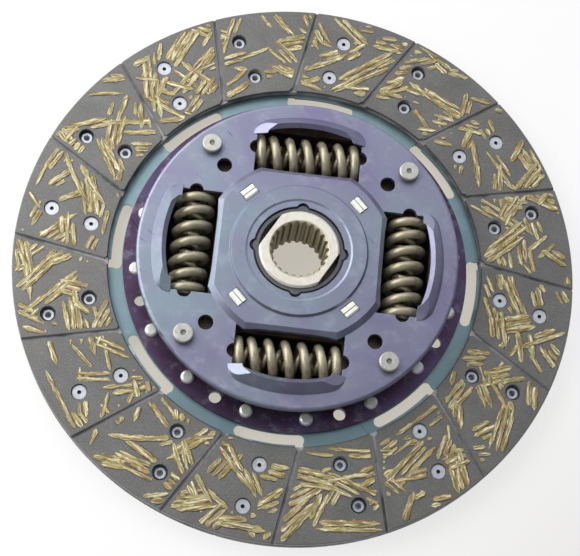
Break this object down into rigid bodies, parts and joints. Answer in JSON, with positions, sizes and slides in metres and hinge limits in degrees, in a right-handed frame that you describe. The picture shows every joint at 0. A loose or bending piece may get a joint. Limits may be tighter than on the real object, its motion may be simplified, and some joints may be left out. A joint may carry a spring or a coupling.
{
  "type": "clutch disc",
  "caption": "Clutch disc with riveted friction facings, a slotted cushion ring, a domed front plate, coil damper springs and a splined hub that turns on a sprung flange.",
  "frame": {"origin": "on the hub's axis, in the plane of the rear friction face", "axes": "+Z along the hub's axis to the front, the side of the domed plate; the spring windows lie on +X, +Y, -X and -Y"},
  "size_m": [0.24, 0.24, 0.0256],
  "materials": {
    "friction_facing": "moulded friction compound with woven yarn, matt",
    "cushion_steel": "spring steel, blue-green oxide",
    "rivet_steel": "zinc plated",
    "rear_plate_steel": "dark violet oxide",
    "front_plate_steel": "blue to violet oxide",
    "hub_steel": "turned and broached",
    "flange_steel": "pressed, oiled",
    "pin_steel": "riveted over",
    "spring_steel": "shot peened, oiled",
    "washer_steel": "phosphated",
    "white_moulding": "natural nylon",
    "grey_moulding": "filled nylon",
    "black_moulding": "filled nylon"
  },
  "bodies": {
    "driven_plates": {"front_facing": "friction_facing", "rear_facing": "friction_facing", "cushion_ring": "cushion_steel", "front_facing_rivets": "rivet_steel", "rear_facing_rivets": "rivet_steel", "cushion_ring_rivets": "rivet_steel", "disc_plate": "rear_plate_steel", "front_plate": "front_plate_steel", "friction_ring": "white_moulding", "friction_spring": "washer_steel", "centring_bush": "grey_moulding", "rear_bush": "grey_moulding", "rear_friction_washer": "grey_moulding", "rear_friction_spring": "washer_steel", "stop_pin_1": "pin_steel", "stop_pin_2": "pin_steel", "stop_pin_3": "pin_steel", "stop_pin_4": "pin_steel", "outer_spring_1": "spring_steel", "outer_spring_2": "spring_steel", "outer_spring_3": "spring_steel", "outer_spring_4": "spring_steel", "inner_spring_1": "spring_steel", "inner_spring_2": "spring_steel", "inner_spring_3": "spring_steel", "inner_spring_4": "spring_steel"},
    "sprung_flange": {"hub_flange": "flange_steel", "predamper_cage": "black_moulding", "predamper_cover": "black_moulding", "predamper_spring_1": "spring_steel", "predamper_spring_2": "spring_steel", "predamper_spring_3": "spring_steel", "predamper_spring_4": "spring_steel"},
    "splined_hub": {"hub": "hub_steel", "predamper_flange": "flange_steel"}
  },
  "joints": [
    {"name": "main_damper", "type": "hinge", "parent": "driven_plates", "child": "sprung_flange", "pos_m": [0, 0, 0.0128], "axis": [0, 0, 1], "range_deg": [-12, 9], "stiffness_Nm_per_rad": 800, "deforming": ["outer_spring_1", "outer_spring_2", "outer_spring_3", "outer_spring_4", "inner_spring_1", "inner_spring_2", "inner_spring_3", "inner_spring_4"]},
    {"name": "predamper", "type": "hinge", "parent": "sprung_flange", "child": "splined_hub", "pos_m": [0, 0, 0.0128], "axis": [0, 0, 1], "range_deg": [-5, 5], "stiffness_Nm_per_rad": 40, "deforming": ["predamper_spring_1", "predamper_spring_2", "predamper_spring_3", "predamper_spring_4"]}
  ]
}
